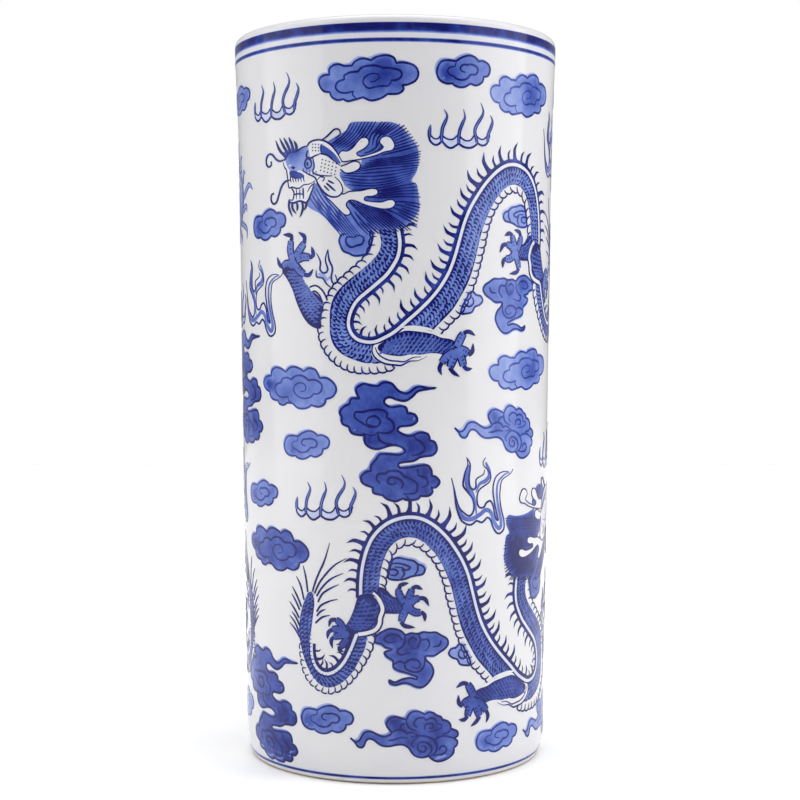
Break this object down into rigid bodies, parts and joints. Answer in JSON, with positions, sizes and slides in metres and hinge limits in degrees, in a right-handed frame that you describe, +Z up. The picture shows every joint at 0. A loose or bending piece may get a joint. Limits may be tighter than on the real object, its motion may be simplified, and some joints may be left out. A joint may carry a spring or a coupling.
{
  "type": "umbrella stand",
  "caption": "Tall tapering round porcelain jar with a flared half-round lip and a bare foot ring, open at the top to hold umbrellas and sticks.",
  "frame": {"origin": "centre of the foot ring's flat face, on the floor the stand rests on", "axes": "+Z up, along the jar's axis of revolution; -Y is the front, the side that faces the viewer"},
  "size_m": [0.2072, 0.2072, 0.46],
  "materials": {
    "clay": "fired white porcelain clay, matt where bare",
    "bare_foot": "unglazed fired clay, fine grit, slightly soiled",
    "glaze": "clear high-gloss porcelain glaze, cool white",
    "cobalt": "cobalt blue painting under clear glaze"
  },
  "bodies": {
    "root": {"porcelain_wall": "clay", "porcelain_floor": "clay", "foot_ring": "bare_foot", "outside_glaze": "glaze", "inside_glaze": "glaze", "underside_glaze": "glaze"}
  },
  "joints": []
}
